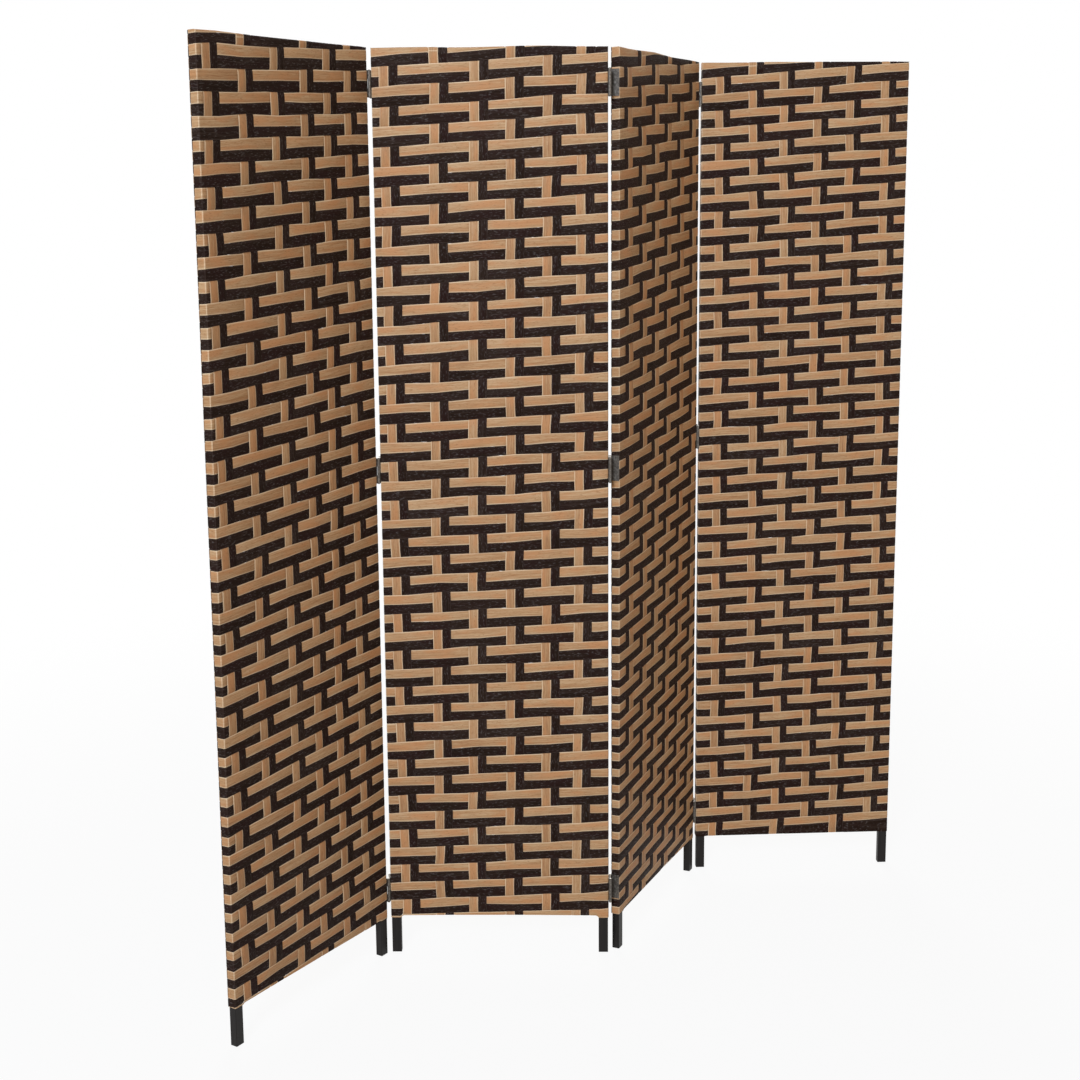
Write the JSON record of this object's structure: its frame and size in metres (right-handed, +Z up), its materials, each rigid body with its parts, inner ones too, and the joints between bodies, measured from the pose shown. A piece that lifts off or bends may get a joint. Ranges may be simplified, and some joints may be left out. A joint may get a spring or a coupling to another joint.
{
  "type": "folding screen",
  "caption": "Free-standing zigzag folding screen: slim wooden panels faced with two-tone flat-woven paper strips, joined by two-way hinges, on short square legs.",
  "frame": {"origin": "on the floor, at the middle of the screen's bounding box as it stands folded in a zigzag", "axes": "+Z up, +X along the run of the zigzag from the first panel to the last, +Y towards the back; the first and third folds close towards the front"},
  "size_m": [1.5918, 0.2758, 1.8],
  "materials": {
    "woven_paper": "flat-woven tan and black twisted-paper strips",
    "black_wood": "black painted",
    "rail_wood": "raw",
    "dowel_wood": "raw",
    "hinge_metal": "zinc plated",
    "hinge_pin_metal": "zinc plated",
    "screw_metal": "zinc plated"
  },
  "bodies": {
    "panel_1": {"panel_1_back_mat": "woven_paper", "panel_1_bottom_rail": "rail_wood", "panel_1_front_mat": "woven_paper", "panel_1_middle_rail": "rail_wood", "panel_1_rail_dowels": "dowel_wood", "panel_1_stile_left": "black_wood", "panel_1_stile_right": "black_wood", "panel_1_top_rail": "rail_wood", "hinge_12_leaves_left": "hinge_metal", "hinge_12_front_pins": "hinge_pin_metal", "hinge_12_screws_left": "screw_metal"},
    "panel_2": {"panel_2_back_mat": "woven_paper", "panel_2_bottom_rail": "rail_wood", "panel_2_front_mat": "woven_paper", "panel_2_middle_rail": "rail_wood", "panel_2_rail_dowels": "dowel_wood", "panel_2_stile_left": "black_wood", "panel_2_stile_right": "black_wood", "panel_2_top_rail": "rail_wood", "hinge_12_leaves_right": "hinge_metal", "hinge_12_back_pins": "hinge_pin_metal", "hinge_12_screws_right": "screw_metal", "hinge_23_leaves_left": "hinge_metal", "hinge_23_front_pins": "hinge_pin_metal", "hinge_23_screws_left": "screw_metal"},
    "panel_3": {"panel_3_back_mat": "woven_paper", "panel_3_bottom_rail": "rail_wood", "panel_3_front_mat": "woven_paper", "panel_3_middle_rail": "rail_wood", "panel_3_rail_dowels": "dowel_wood", "panel_3_stile_left": "black_wood", "panel_3_stile_right": "black_wood", "panel_3_top_rail": "rail_wood", "hinge_23_leaves_right": "hinge_metal", "hinge_23_back_pins": "hinge_pin_metal", "hinge_23_screws_right": "screw_metal", "hinge_34_leaves_left": "hinge_metal", "hinge_34_front_pins": "hinge_pin_metal", "hinge_34_screws_left": "screw_metal"},
    "panel_4": {"panel_4_back_mat": "woven_paper", "panel_4_bottom_rail": "rail_wood", "panel_4_front_mat": "woven_paper", "panel_4_middle_rail": "rail_wood", "panel_4_rail_dowels": "dowel_wood", "panel_4_stile_left": "black_wood", "panel_4_stile_right": "black_wood", "panel_4_top_rail": "rail_wood", "hinge_34_leaves_right": "hinge_metal", "hinge_34_back_pins": "hinge_pin_metal", "hinge_34_screws_right": "screw_metal"},
    "link_12": {"hinge_12_links": "hinge_metal"},
    "link_23": {"hinge_23_links": "hinge_metal"},
    "link_34": {"hinge_34_links": "hinge_metal"}
  },
  "joints": [
    {"name": "back_fold_12", "type": "hinge", "parent": "panel_2", "child": "link_12", "pos_m": [-0.37446, 0.12086, 0.9], "axis": [0, 0, -1], "range_deg": [0, 180]},
    {"name": "front_fold_12", "type": "hinge", "parent": "link_12", "child": "panel_1", "pos_m": [-0.38558, 0.10304, 0.9], "axis": [0, 0, 1], "range_deg": [-58, 122]},
    {"name": "front_fold_23", "type": "hinge", "parent": "panel_2", "child": "link_23", "pos_m": [-0.00391, -0.13533, 0.9], "axis": [0, 0, -1], "range_deg": [0, 180]},
    {"name": "back_fold_23", "type": "hinge", "parent": "link_23", "child": "panel_3", "pos_m": [0.00722, -0.11752, 0.9], "axis": [0, 0, 1], "range_deg": [-66, 114]},
    {"name": "front_fold_34", "type": "hinge", "parent": "panel_3", "child": "link_34", "pos_m": [0.39198, 0.11679, 0.9], "axis": [0, 0, -1], "range_deg": [-62, 118]},
    {"name": "back_fold_34", "type": "hinge", "parent": "link_34", "child": "panel_4", "pos_m": [0.40183, 0.13533, 0.9], "axis": [0, 0, 1], "range_deg": [0, 180]}
  ]
}
